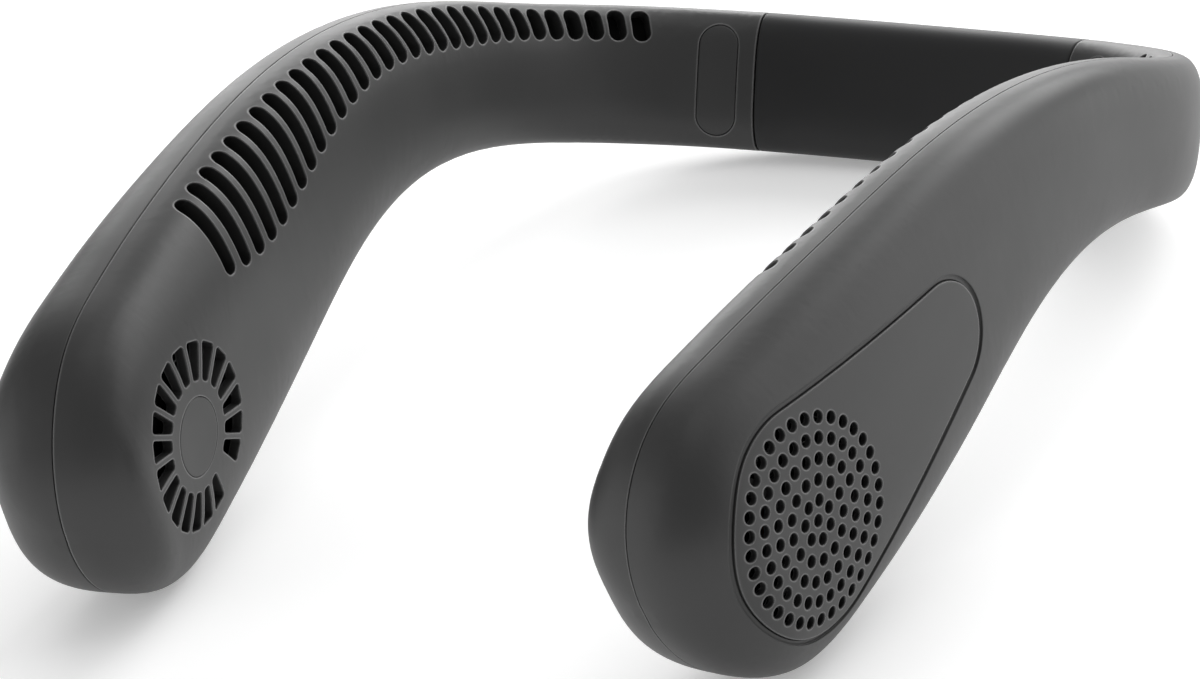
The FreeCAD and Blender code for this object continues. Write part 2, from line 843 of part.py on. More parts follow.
def blade_face():
    """Curved outline of one wheel blade, bowed forward, from the eye to the rim."""
    sweep = math.radians(wheel_blade_sweep_angle)
    start_radius, end_radius = wheel_eye_radius, wheel_radius - wheel_ring_thickness / 2.0
    start = Vector(start_radius, 0.0)
    end = Vector(end_radius * math.cos(sweep), -end_radius * math.sin(sweep))
    side = Vector(end.y - start.y, start.x - end.x).normalize()
    middle = (start + end) * 0.5 + side * wheel_blade_bow
    shift = side * wheel_blade_thickness
    return Part.Face(Part.Wire([
        Part.Arc(start, middle, end).toShape(),
        Part.LineSegment(end, end + shift).toShape(),
        Part.Arc(end + shift, middle + shift, start + shift).toShape(),
        Part.LineSegment(start + shift, start).toShape()]))


def hub_inner_radius():
    return rotor_radius + fit_gap


def impeller():
    """Blower wheel open at both faces: a hub cup, a web, curved blades and a ring at each face."""
    hub_radius = hub_inner_radius() + wheel_hub_wall
    crown_low = -rotor_inner_reach - fit_gap - wheel_hub_wall
    hub = rod(hub_radius, crown_low, wheel_outer_reach)
    hub = hub.cut(rod(hub_inner_radius(), crown_low + wheel_hub_wall, wheel_outer_reach))
    half_web = wheel_web_thickness / 2.0
    web = tube(wheel_radius, hub_inner_radius() + wheel_hub_wall / 2.0, -half_web, half_web)
    inner_ring = tube(wheel_radius, wheel_radius - wheel_ring_width,
                      -wheel_inner_reach, wheel_ring_thickness - wheel_inner_reach)
    outer_ring = tube(wheel_radius, wheel_radius - wheel_ring_width,
                      wheel_outer_reach - wheel_ring_thickness, wheel_outer_reach)
    face = blade_face()
    face.translate(Vector(0.0, 0.0, -wheel_inner_reach))
    blade = face.extrude(Vector(0.0, 0.0, wheel_inner_reach + wheel_outer_reach))
    blades = []
    for index in range(wheel_blade_count):
        turned = blade.copy()
        turned.rotate(Vector(0.0, 0.0, 0.0), Vector(0.0, 0.0, 1.0), 360.0 * index / wheel_blade_count)
        blades.append(turned)
    return placed(hub.fuse([web, inner_ring, outer_ring] + blades), fan_run)


def rotor_cup():
    """Magnet cup inside the wheel's hub."""
    cup = rod(rotor_radius, -rotor_inner_reach, rotor_outer_reach)
    cup = cup.cut(rod(rotor_radius - rotor_wall, rotor_wall - rotor_inner_reach, rotor_outer_reach))
    cup = cup.cut(rod(motor_shaft_radius + press_gap, -rotor_inner_reach, rotor_outer_reach))
    return placed(cup, fan_run)


def motor_base_level():
    """Local height of the motor base's outer face, just under the shell's motor seat."""
    return motor_seat_level() - fit_gap


def bush_outer_radius():
    return motor_shaft_radius + bush_running_gap + bush_wall


def motor_shaft():
    return placed(rod(motor_shaft_radius, -rotor_inner_reach, motor_base_level() - bush_wall), fan_run)


def motor_bush():
    """Plain bearing for the shaft, held in the motor base's tube."""
    high = motor_base_level()
    bore = motor_shaft_radius + bush_running_gap
    return placed(tube(bush_outer_radius(), bore, high - bush_length, high), fan_run)


def motor_tube_radius():
    return bush_outer_radius() + motor_tube_wall


def motor_base():
    """Disc against the outer shell's motor seat, with the tube that carries bush and stator."""
    high = motor_base_level()
    disc = rod(motor_seat_radius, high - motor_base_thickness, high)
    carrier = rod(motor_tube_radius(), high - bush_length, high - motor_base_thickness)
    bore = rod(bush_outer_radius() + press_gap, high - bush_length, high)
    return placed(disc.fuse(carrier).cut(bore), fan_run)


def motor_stator():
    """Wound core on the motor base's tube, notched between its poles."""
    high = motor_base_level() - motor_base_thickness
    high -= fit_gap
    core = tube(stator_radius, motor_tube_radius() + press_gap, high - stator_length, high)
    notches = []
    for index in range(stator_pole_count):
        notch = block(2.0 * stator_slot_depth, stator_slot_width, high - stator_length, high, stator_radius)
        notch.rotate(Vector(0.0, 0.0, 0.0), Vector(0.0, 0.0, 1.0), 360.0 * index / stator_pole_count)
        notches.append(notch)
    return placed(core.cut(notches), fan_run)


def scroll_curve(grow, angles):
    """Spiral round the wheel that opens towards the arm's upper side."""
    points = []
    for angle in angles:
        share = (angle - angles[0]) / (angles[-1] - angles[0])
        radius = mix(scroll_start_radius, scroll_end_radius, share) + grow
        turn = math.radians(scroll_start_angle - angle)
        points.append(Vector(radius * math.cos(turn), radius * math.sin(turn)))
    curve = Part.BSplineCurve()
    curve.interpolate(Points=points)
    return curve.toShape(), points[0], points[-1]


def fan_scroll():
    """Spiral wall that gathers the wheel's air and leads it into the arm."""
    angles = even_runs(0.0, scroll_sweep_angle, section_point_count)
    inner, inner_start, inner_end = scroll_curve(0.0, angles)
    outer, outer_start, outer_end = scroll_curve(scroll_wall, angles)
    outline = Part.Wire(Part.__sortEdges__([
        inner, Part.LineSegment(inner_end, outer_end).toShape(),
        outer, Part.LineSegment(outer_start, inner_start).toShape()]))
    wall = prism(outline, -scroll_half_width, scroll_half_width)
    throat = Part.makeBox(scroll_throat_length, scroll_wall, 2.0 * scroll_half_width,
                          Vector(inner_end.x, inner_end.y, -scroll_half_width))
    return placed(wall.fuse(throat), fan_run).common(arm_form(shell_wall + fit_gap)).cut(pad_room())


# Arm internals


def cell_run():
    """Run at the middle of the cell."""
    return fan_run - cell_start_distance - cell_length / 2.0


def duct_divider():
    """Flat plate between the air duct above and the cell below."""
    reach = tip_half_thickness
    plate = block(divider_length, divider_thickness, -reach, reach, 0.0, -divider_drop)
    return placed(plate, cell_run()).common(arm_form(shell_wall + fit_gap)).cut(pad_room())


def battery_cell():
    """Flat lithium cell under the divider."""
    high = -divider_drop - divider_thickness / 2.0 - cell_gap
    body = prism(rectangle_outline(cell_length, cell_height, cell_corner_radius),
                 -cell_thickness / 2.0, cell_thickness / 2.0)
    body.translate(Vector(0.0, high - cell_height / 2.0, 0.0))
    return placed(body, cell_run())


# Controls


def board_top():
    return board_level + board_thickness


def wall_level():
    """Local height of the outer shell's inside at the controls."""
    return half_sizes(control_run)[1] - shell_wall


def board_post_places():
    x, y = board_length / 2.0 - board_post_inset, board_height / 2.0 - board_post_inset
    return ((-x, y - board_drop), (x, y - board_drop))


def light_places():
    return [((index - (light_count - 1) / 2.0) * light_pitch, -light_drop) for index in range(light_count)]


def port_outline(grow):
    """Mouth of the charging port, in its own axes: width across, depth outwards."""
    width, depth = port_width + 2.0 * grow, port_depth + 2.0 * grow
    return rectangle_outline(width, depth, depth / 2.0 - port_wall / 2.0)


def port_mouth():
    """Local height of the port's mouth, just inside the arm's lower edge."""
    height, thickness, _ = half_sizes(control_run)
    return port_sink - height * section_reach((board_top() + port_depth / 2.0) / thickness)


def port_prism(grow, low, high):
    """The port's outline carried along local Y, its flat side on the board."""
    bar = prism(port_outline(grow), low, high)
    bar.rotate(Vector(0.0, 0.0, 0.0), Vector(1.0, 0.0, 0.0), -90.0)
    bar.translate(Vector(0.0, 0.0, board_top() + port_depth / 2.0))
    return bar


def usb_port():
    """Charging port: a drawn shell open below, with its tongue."""
    mouth = port_mouth()
    shell = port_prism(0.0, mouth, mouth + port_length).cut(
        port_prism(-port_wall, mouth, mouth + port_length - port_wall))
    tongue = Part.makeBox(port_tongue_width, port_tongue_length, port_tongue_thickness, Vector(
        -port_tongue_width / 2.0, mouth + port_length - port_tongue_length,
        board_top() + (port_depth - port_tongue_thickness) / 2.0))
    return placed(shell.fuse(tongue), control_run)


def control_shell(shell):
    """The outer shell with its button hole, light holes, port hole and board posts."""
    high = tip_half_thickness + cut_overrun
    posts = [rod(board_post_radius, board_top(), high, x, y) for x, y in board_post_places()]
    posts = placed(Part.makeCompound(posts), control_run).common(arm_form(shell_wall / 2.0))
    shell = shell.fuse(posts.Solids)
    tools = [rod(button_radius + button_gap, board_top(), high, 0.0, button_rise)]
    tools += [rod(light_radius + light_gap, board_top(), high, x, y) for x, y in light_places()]
    tools += [rod(screw_radius + press_gap, board_top(), board_top() + board_screw_length, x, y)
              for x, y in board_post_places()]
    mouth = port_mouth()
    tools.append(port_prism(port_hole_gap, mouth - cut_overrun, mouth + port_length + port_hole_gap))
    return shell.cut([placed(tool, control_run) for tool in tools])


def control_board():
    board = block(board_length, board_height, board_level, board_top(), 0.0, -board_drop)
    for x, y in board_post_places():
        board = board.cut(rod(screw_radius + screw_hole_gap, board_level, board_top(), x, y))
    return placed(board, control_run)


def board_screws():
    """Two screws from the inner side through the board into the shell's posts."""
    screws = []
    for x, y in board_post_places():
        part = screw(board_thickness + board_screw_length - fit_gap, -board_level)
        part.rotate(Vector(0.0, 0.0, 0.0), Vector(1.0, 0.0, 0.0), 180.0)
        part.translate(Vector(x, y, 0.0))
        screws.append(placed(part, control_run))
    return Part.makeCompound(screws)


def switch_top():
    return board_top() + switch_height + switch_plunger_height


def tact_switch():
    """Tact switch under the button, on the board."""
    body_top = board_top() + switch_height
    body = block(switch_width, switch_width, board_top(), body_top, 0.0, button_rise)
    plunger = rod(switch_plunger_radius, body_top, switch_top(), 0.0, button_rise)
    return placed(body.fuse(plunger), control_run)


def power_button():
    """Round button, a little proud, with a flange that keeps it in and a stem over the switch."""
    flange_high = wall_level() - button_flange_drop
    flange_low = flange_high - button_flange_thickness
    cap = rod(button_radius, flange_low, tip_half_thickness, 0.0, button_rise)
    cap = placed(cap, control_run).common(arm_form(-button_proud))
    flange_radius = button_radius + button_gap + button_flange_width
    flange = rod(flange_radius, flange_low, flange_high, 0.0, button_rise)
    stem = rod(button_stem_radius, switch_top() + button_travel + fit_gap, flange_low, 0.0, button_rise)
    return cap.fuse([placed(flange, control_run), placed(stem, control_run)])


def status_lights():
    """Light guides from the board to the outer face."""
    guides = [rod(light_radius, board_top(), tip_half_thickness, x, y) for x, y in light_places()]
    return placed(Part.makeCompound(guides), control_run).common(arm_form(0.0))


# Assembly


def arm_pieces():
    """Pieces that both arms have, drawn for the right arm."""
    hollow = arm_form(0.0).cut(arm_form(shell_wall, band_seam_run - cut_overrun))
    return {
        "inner_shell": inner_shell(hollow.common(side_block(-1))),
        "outer_shell": outer_shell(hollow.common(side_block(1))),
        "intake_cover": intake_cover(),
        "hub_cap": hub_cap(),
        "screw_cover": screw_cover(),
        "band_anchor": band_anchor(),
        "anchor_screws": anchor_screws(),
        "case_screws": case_screws(),
        "impeller": impeller(),
        "rotor_cup": rotor_cup(),
        "motor_shaft": motor_shaft(),
        "motor_bush": motor_bush(),
        "motor_base": motor_base(),
        "motor_stator": motor_stator(),
        "fan_scroll": fan_scroll(),
        "duct_divider": duct_divider(),
        "battery_cell": battery_cell(),
    }


def control_pieces():
    """Pieces of the controls, drawn for the right arm and mirrored into the left."""
    return {
        "control_board": control_board(),
        "board_screws": board_screws(),
        "tact_switch": tact_switch(),
        "power_button": power_button(),
        "status_lights": status_lights(),
        "usb_port": usb_port(),
    }


def build():
    """Every piece of the fan by name, in its rest attitude on the table."""
    pieces = {"neck_sleeve": neck_sleeve(), "spring_strip": spring_strip(), "arm_lead": arm_lead()}
    arm = arm_pieces()
    for name, shape in arm.items():
        pieces["right_" + name] = shape
        pieces["left_" + name] = mirrored(shape)
    pieces["left_outer_shell"] = mirrored(control_shell(arm["outer_shell"]))
    for name, shape in control_pieces().items():
        pieces[name] = mirrored(shape)
    return pieces


def main():
    os.makedirs("parts", exist_ok=True)
    for name, shape in build().items():
        shape.exportStep(os.path.join("parts", name + ".step"))


if __name__ == "__main__":
    main()
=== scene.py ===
import math

import bmesh
import bpy
from bpy.props import FloatProperty, FloatVectorProperty, IntProperty, PointerProperty
from mathutils import Matrix, Vector


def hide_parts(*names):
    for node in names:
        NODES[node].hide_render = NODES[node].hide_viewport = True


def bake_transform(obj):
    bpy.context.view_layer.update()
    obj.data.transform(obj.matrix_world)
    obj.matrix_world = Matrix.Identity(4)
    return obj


bl_info = {
    "name": "Neck Fan Dresser",
    "version": (1, 0, 0),
    "blender": (4, 5, 0),
    "location": "View3D > Sidebar > Neck Fan",
    "description": "Gives a packed neck fan its finishes, its silicone band and a studio",
    "category": "Object",
}

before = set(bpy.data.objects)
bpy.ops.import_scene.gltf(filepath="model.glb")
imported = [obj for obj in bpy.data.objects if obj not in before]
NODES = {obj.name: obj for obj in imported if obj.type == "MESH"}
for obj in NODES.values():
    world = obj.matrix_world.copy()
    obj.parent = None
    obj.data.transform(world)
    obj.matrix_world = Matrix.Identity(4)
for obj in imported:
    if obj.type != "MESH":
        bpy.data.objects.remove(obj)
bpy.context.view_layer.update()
SIDES = ("left", "right")
EDGE_ANGLE = math.radians(32.0)
WELD_DISTANCE = 1e-06
EDGE_SAMPLES = 8
PATH_POINTS = 201
ABS_IOR = 1.53
SILICONE_IOR = 1.41
FAN_MIDDLE = Vector((0.0, 0.0, 0.035))
FLOOR_HALF_WIDTH = 6.0
FRAME_WIDTH_MM = 36.0
CAMERA_SIGHT = 20.0
# A wave texture turns by this much over one unit of its scaled place.
WAVE_RADIANS = 20.0

# Each soft light's turn from the front towards the right, and its height, in degrees.
LIGHTS = {
    "top": (38.0, 89.0),
    "right": (128.0, 45.0),
    "right_low": (128.0, 12.0),
    "back_right": (173.0, 30.0),
    "back_low": (218.0, 18.0),
    "left_low": (308.0, 12.0),
}


def linear(hex_colour):
    """An sRGB hex colour as linear red, green and blue."""
    channels = [int(hex_colour[index:index + 2], 16) / 255.0 for index in (1, 3, 5)]
    return [c / 12.92 if c <= 0.04045 else ((c + 0.055) / 1.055) ** 2.4 for c in channels]


def colour(name, description, hex_colour):
    return FloatVectorProperty(name=name, description=description, default=linear(hex_colour), size=3,
                               subtype="COLOR", min=0.0, max=1.0)


def length(name, description, millimetres):
    return FloatProperty(name=name, description=description, default=millimetres / 1000.0,
                         subtype="DISTANCE", unit="LENGTH", precision=5)


def power(name, description, watts):
    return FloatProperty(name=name, description=description, default=watts, min=0.0, subtype="POWER")


def angle(name, description, degrees):
    return FloatProperty(name=name, description=description, default=math.radians(degrees),
                         subtype="ANGLE", unit="ROTATION")


class NeckFanFinish(bpy.types.PropertyGroup):
    """Colours of the finishes and the sizes of their grain."""

    shell_colour: colour("Shell", "Charcoal of the moulded shells", "#2e2e2e")
    shell_shade: colour("Shell shade", "Darker end of the shells' slight variation", "#2a2a2a")
    # Painted highlight: the paler grey painted on the free edges of slots and holes.
    edge_highlight_colour: colour("Shell edge", "Paler grey of the shells' polished edges", "#808080")
    band_colour: colour("Band", "Near black of the silicone sleeve", "#1c1c1d")
    frame_colour: colour("Inner frame", "Black of the inner mouldings", "#161617")
    steel_colour: colour("Steel", "Plated steel of motor, screws and port", "#b9babd")
    bronze_colour: colour("Bronze", "Sintered bronze of the bushes", "#a67c45")
    copper_colour: colour("Copper", "Enamelled copper of the windings", "#9a4f2a")
    film_colour: colour("Cell film", "Silver film round the cells", "#c3c6ca")
    board_colour: colour("Board", "Black solder mask of the control board", "#161a18")
    guide_colour: colour("Light guide", "Clear moulding of the status lights", "#dfe6ea")
    shell_grain: length("Shell grain", "Spark-eroded grain of the shells", 0.3)
    silicone_grain: length("Silicone grain", "Fine matt grain of the sleeve", 0.4)
    lathe_marks: length("Lathe marks", "Spacing of the marks on turned steel", 0.4)
    roll_marks: length("Roll marks", "Spacing of the marks on the spring strip", 0.5)
    bronze_pores: length("Bronze pores", "Size of the pores in the bushes", 0.3)
    wire_rings: length("Wire rings", "Spacing of the rings on the windings", 1.885)
    film_creases: length("Film creases", "Size of the creases in the cells' film", 6.0)
    board_tracks: length("Board tracks", "Size of the board's pattern of tracks", 4.0)
    guide_frost: length("Guide frost", "Grain of the frosted light guide", 0.3)
    edge_round: length("Edge round", "Softened edge of every moulding", 0.45)
    # Painted highlight: how far the paler edge colour reaches beside an edge.
    edge_highlight_width: length("Edge rub", "How far handling polishes the face beside an edge", 0.8)
    handling_patch: length("Handling patch", "Size of the slight changes of gloss", 22.0)


class NeckFanBand(bpy.types.PropertyGroup):
    """Sizes of the band's sleeve, spring strip and lead, from the middle of the band to one end."""

    straight: length("Straight", "Run before the band starts to bend towards the arm", 21.0)
    bend_radius: length("Bend radius", "Slow bend of the whole band", 420.0)
    corner: length("Corner", "Length over which the band and arm turn the corner", 92.0)
    corner_turn: angle("Corner turn", "Turn of that corner", 72.0)
    reach: length("Reach", "Run from the middle to the end of the sleeve", 38.2)
    half_height: length("Half height", "Half the height of the band", 14.3)
    half_thickness: length("Half thickness", "Half the thickness of the band", 6.5)
    wall: length("Wall", "Wall of the sleeve at its ends", 2.2)
    lip: length("Lip", "Rounding of the sleeve's end", 0.35)
    corner_share: FloatProperty(name="Corner share", description="How far the section fills its corner",
                                default=0.784, min=0.71, max=0.95)
    strip_reach: length("Strip reach", "Run from the middle to the end of the spring strip", 45.9)
    strip_height: length("Strip height", "Height of the spring strip", 14.0)
    strip_thickness: length("Strip thickness", "Thickness of the spring strip", 0.5)
    lead_reach: length("Lead reach", "Run from the middle to the end of the lead", 56.5)
    lead_radius: length("Lead radius", "Radius of the lead's jacket", 1.2)
    lead_height: length("Lead height", "Height of the lead above the band's middle line", 8.7)
    tilt: angle("Tilt", "Lean of the band when the fan lies on a table", 25.632)
    height: length("Height", "Height of the band's middle above the table", 13.677)
    depth: length("Depth", "Distance of the band's middle behind the origin", 103.931)
    steps: IntProperty(name="Steps", description="Steps along one half of the band", default=60, min=20,
                       max=200)
    points: IntProperty(name="Points", description="Points round the sleeve", default=96, min=16, max=256)
    lead_points: IntProperty(name="Lead points", description="Points round the lead", default=24, min=8,
                             max=96)


class NeckFanStage(bpy.types.PropertyGroup):
    """Floor, lights and the photograph's camera."""

    floor_colour: colour("Floor", "Pale floor", "#f8f8f8")
    floor_grain: length("Floor grain", "Roller texture of the floor", 4.0)
    floor_glow: FloatProperty(name="Floor glow", description="Light that comes up through the floor",
                              default=0.3, min=0.0)
    sky_strength: FloatProperty(name="Sky", description="Strength of the even light", default=0.39, min=0.0)
    top_power: power("Top", "Power of the light overhead", 1.6)
    right_power: power("Right", "Power of the light high on the right", 2.6)
    right_low_power: power("Right low", "Power of the light low on the right", 3.6)
    back_right_power: power("Back right", "Power of the light behind on the right", 10.5)
    back_low_power: power("Back low", "Power of the light low behind", 8.4)
    left_low_power: power("Left low", "Power of the light low on the left", 2.1)
    light_distance: length("Light distance", "Distance of the soft lights", 1300.0)
    light_size: length("Light size", "Width of the soft lights", 800.0)
    azimuth: angle("Azimuth", "Camera's turn from the front towards the right", 37.6994)
    elevation: angle("Elevation", "Camera's height above the table", 26.5395)
    roll: angle("Roll", "Camera's turn about its own line of sight", -12.7953)
    distance: length("Distance", "Camera's distance from its target", 1758.835)
    target_x: length("Target X", "Point that the camera looks at", -23.416)
    target_y: length("Target Y", "Point that the camera looks at", 8.931)
    target_z: length("Target Z", "Point that the camera looks at", 6.404)
    lens: FloatProperty(name="Lens", description="Focal length for a 36 mm wide frame", default=265.853,
                        subtype="DISTANCE_CAMERA", unit="CAMERA")


def finish():
    return bpy.context.scene.neck_fan_finish


def band_sizes():
    return bpy.context.scene.neck_fan_band


def stage_sizes():
    return bpy.context.scene.neck_fan_stage


# Materials


def add_node(tree, kind, settings=None, inputs=None):
    """Add one node with its settings. An input that is a socket is linked, and any other value is set."""
    node = tree.nodes.new(kind)
    for name, value in (settings or {}).items():
        setattr(node, name, value)
    for name, value in (inputs or {}).items():
        if isinstance(value, bpy.types.NodeSocket):
            tree.links.new(value, node.inputs[name])
        else:
            node.inputs[name].default_value = value
    return node


def opaque(base, share=1.0):
    """A colour for a node socket, darkened to a share of itself."""
    return (*(share * value for value in base), 1.0)


def darker(base, share):
    return [share * value for value in base]


def new_material(name):
    """Empty node material with its output, and its Object coordinates."""
    material = bpy.data.materials.new(name)
    material.use_nodes = True
    tree = material.node_tree
    tree.nodes.clear()
    output = add_node(tree, "ShaderNodeOutputMaterial")
    place = add_node(tree, "ShaderNodeTexCoord").outputs["Object"]
    return material, tree, output.inputs["Surface"], place


def moulded(name, dark, light, roughness, ior, grain, depth, edge_highlight_colour=None):
    """A moulded surface: fine grain, slow changes of gloss, and a painted highlight that lightens the edges
    standing free.
    """
    material, tree, surface, place = new_material(name)
    fine = add_node(tree, "ShaderNodeTexNoise", inputs={
        "Vector": place, "Scale": 1.0 / grain, "Detail": 2.0, "Roughness": 0.6})
    slow = add_node(tree, "ShaderNodeTexNoise", inputs={
        "Vector": place, "Scale": 1.0 / finish().handling_patch, "Detail": 3.0, "Roughness": 0.5})
    tint = add_node(tree, "ShaderNodeMix", {"data_type": "RGBA"}, {
        0: slow.outputs["Fac"], 6: opaque(dark), 7: opaque(light)})
    gloss = add_node(tree, "ShaderNodeMapRange", inputs={
        "Value": slow.outputs["Fac"], "From Min": 0.3, "From Max": 0.7,
        "To Min": roughness - 0.03, "To Max": roughness + 0.03})
    edge = add_node(tree, "ShaderNodeBevel", {"samples": EDGE_SAMPLES}, {"Radius": finish().edge_round})
    # Painted highlight: a wide bevel's turned normal marks the band beside each edge that is painted paler.
    highlight_bevel = add_node(tree, "ShaderNodeBevel", {"samples": EDGE_SAMPLES}, {"Radius": finish().edge_highlight_width})
    flat = add_node(tree, "ShaderNodeNewGeometry").outputs["Normal"]
    turn = add_node(tree, "ShaderNodeVectorMath", {"operation": "DOT_PRODUCT"}, {
        0: highlight_bevel.outputs["Normal"], 1: flat})
    painted_highlight = add_node(tree, "ShaderNodeMapRange", inputs={
        "Value": turn.outputs["Value"], "From Min": 0.99, "From Max": 0.86, "To Max": 0.9})
    # Painted highlight: only the edges that stand free of seams are painted paler, so the seams stay dark.
    free = add_node(tree, "ShaderNodeAmbientOcclusion", {"samples": EDGE_SAMPLES}, {
        "Distance": 3.0 * finish().edge_round, "Normal": edge.outputs["Normal"]})
    painted_highlight_mask = add_node(tree, "ShaderNodeMapRange", inputs={
        "Value": free.outputs["AO"], "From Min": 0.88, "From Max": 0.98, "To Max": painted_highlight.outputs["Result"]})
    highlighted = add_node(tree, "ShaderNodeMix", {"data_type": "RGBA"}, {
        0: painted_highlight_mask.outputs["Result"], 6: tint.outputs[2], 7: opaque(edge_highlight_colour or light)})
    bump = add_node(tree, "ShaderNodeBump", inputs={
        "Strength": 0.25, "Distance": depth, "Height": fine.outputs["Fac"],
        "Normal": edge.outputs["Normal"]})
    shader = add_node(tree, "ShaderNodeBsdfPrincipled", inputs={
        "Base Color": highlighted.outputs[2], "Roughness": gloss.outputs["Result"],
        "Normal": bump.outputs["Normal"], "IOR": ior})
    tree.links.new(shader.outputs["BSDF"], surface)
    return material


def charcoal_abs():
    """Injection-moulded ABS from a spark-eroded tool: a fine even grain spreads highlights into a satin."""
    look = finish()
    # The grain is 0.05 mm on the real tool and is drawn coarser so that it still shows a little.
    return moulded("charcoal_abs_moulded", look.shell_shade, look.shell_colour, roughness=0.46,
                   ior=ABS_IOR, grain=look.shell_grain, depth=2e-05)


def highlighted_abs():
    """The same charcoal ABS where it is pierced by slots and holes, their rims lightened by a painted
    highlight.
    """
    look = finish()
    return moulded("charcoal_abs_rubbed", look.shell_shade, look.shell_colour, roughness=0.46,
                   ior=ABS_IOR, grain=look.shell_grain, depth=2e-05, edge_highlight_colour=look.edge_highlight_colour)


def black_abs():
    """Inner mouldings of black ABS, smoother than the shells because no one sees them."""
    look = finish()
    return moulded("black_abs_moulded", darker(look.frame_colour, 0.75), look.frame_colour, roughness=0.4,
                   ior=ABS_IOR, grain=look.shell_grain, depth=1e-05)


def glossy_nylon():
    """Glass-filled nylon of the blower wheels, from a polished tool: dark, with small bright glints."""
    look = finish()
    return moulded("nylon_glass_filled_moulded", darker(look.frame_colour, 0.75), look.frame_colour,
                   roughness=0.16, ior=ABS_IOR, grain=look.shell_grain, depth=5e-06)


def silicone():
    """Compression-moulded silicone: matt, with a soft sheen at grazing angles and no sharp highlight."""
    look = finish()
    # The grain is finer on the real sleeve and is drawn coarser so that it still shows a little.
    material = moulded("silicone_matt_moulded", darker(look.band_colour, 0.85), look.band_colour,
                       roughness=0.55, ior=SILICONE_IOR, grain=look.silicone_grain, depth=2e-05)
    shader = material.node_tree.nodes["Principled BSDF"]
    shader.inputs["Sheen Weight"].default_value = 0.08
    shader.inputs["Sheen Roughness"].default_value = 0.5
    return material


def drawn_metal(name, base, roughness, grain, stretch):
    """A metal whose tooling marks run one way, shown as streaks of gloss."""
    material, tree, surface, place = new_material(name)
    # Real marks and pores are finer, and are drawn coarser so that they show.
    streak = add_node(tree, "ShaderNodeMapping", inputs={"Vector": place, "Scale": stretch})
    marks = add_node(tree, "ShaderNodeTexNoise", inputs={
        "Vector": streak.outputs["Vector"], "Scale": 1.0 / grain, "Detail": 4.0})
    gloss = add_node(tree, "ShaderNodeMapRange", inputs={
        "Value": marks.outputs["Fac"], "To Min": roughness - 0.1, "To Max": roughness + 0.1})
    tint = add_node(tree, "ShaderNodeMix", {"data_type": "RGBA"}, {
        0: marks.outputs["Fac"], 6: opaque(base, 0.8), 7: opaque(base)})
    bump = add_node(tree, "ShaderNodeBump", inputs={
        "Strength": 0.2, "Distance": 1e-05, "Height": marks.outputs["Fac"]})
    shader = add_node(tree, "ShaderNodeBsdfPrincipled", inputs={
        "Base Color": tint.outputs[2], "Metallic": 1.0, "Roughness": gloss.outputs["Result"],
        "Normal": bump.outputs["Normal"]})
    tree.links.new(shader.outputs["BSDF"], surface)
    return material


def plated_steel():
    """Turned and plated steel: bright, with fine lathe marks."""
    return drawn_metal("steel_turned_plated", finish().steel_colour, roughness=0.3,
                       grain=finish().lathe_marks, stretch=(1.0, 1.0, 6.0))


def spring_steel():
    """Rolled spring steel: grey, with marks along the roll."""
    shade = darker(finish().steel_colour, 0.7)
    return drawn_metal("spring_steel_rolled", shade, roughness=0.35,
                       grain=finish().roll_marks, stretch=(0.1, 1.0, 1.0))


def sintered_bronze():
    """Pressed and sintered bronze, with the fine pores that hold its oil."""
    return drawn_metal("bronze_sintered", finish().bronze_colour, roughness=0.45,
                       grain=finish().bronze_pores, stretch=(1.0, 1.0, 1.0))


def enamelled_copper():
    """Wound copper wire under clear enamel, its turns showing as close rings."""
    material, tree, surface, place = new_material("copper_wire_enamelled")
    # The wire is finer than the rings, which are drawn coarser so that they show.
    turns = add_node(tree, "ShaderNodeTexWave", {"wave_type": "BANDS", "bands_direction": "X"}, {
        "Vector": place, "Scale": math.tau / WAVE_RADIANS / finish().wire_rings, "Distortion": 0.6})
    base = finish().copper_colour
    tint = add_node(tree, "ShaderNodeMix", {"data_type": "RGBA"}, {
        0: turns.outputs["Fac"], 6: opaque(base, 0.45), 7: opaque(base)})
    bump = add_node(tree, "ShaderNodeBump", inputs={
        "Strength": 0.6, "Distance": 1e-04, "Height": turns.outputs["Fac"]})
    shader = add_node(tree, "ShaderNodeBsdfPrincipled", inputs={
        "Base Color": tint.outputs[2], "Metallic": 0.8, "Roughness": 0.32,
        "Normal": bump.outputs["Normal"], "Coat Weight": 0.5})
    tree.links.new(shader.outputs["BSDF"], surface)
    return material


def cell_film():
    """Aluminium laminate film, vacuum drawn round the cell: silver with shallow creases."""
    material, tree, surface, place = new_material("laminate_film_drawn")
    creases = add_node(tree, "ShaderNodeTexNoise", inputs={
        "Vector": place, "Scale": 1.0 / finish().film_creases, "Detail": 5.0, "Distortion": 1.2})
    tint = add_node(tree, "ShaderNodeMix", {"data_type": "RGBA"}, {
        0: creases.outputs["Fac"], 6: opaque(finish().film_colour, 0.85), 7: opaque(finish().film_colour)})
    bump = add_node(tree, "ShaderNodeBump", inputs={
        "Strength": 0.4, "Distance": 2e-04, "Height": creases.outputs["Fac"]})
    shader = add_node(tree, "ShaderNodeBsdfPrincipled", inputs={
        "Base Color": tint.outputs[2], "Metallic": 0.85, "Roughness": 0.36,
        "Normal": bump.outputs["Normal"]})
    tree.links.new(shader.outputs["BSDF"], surface)
    return material


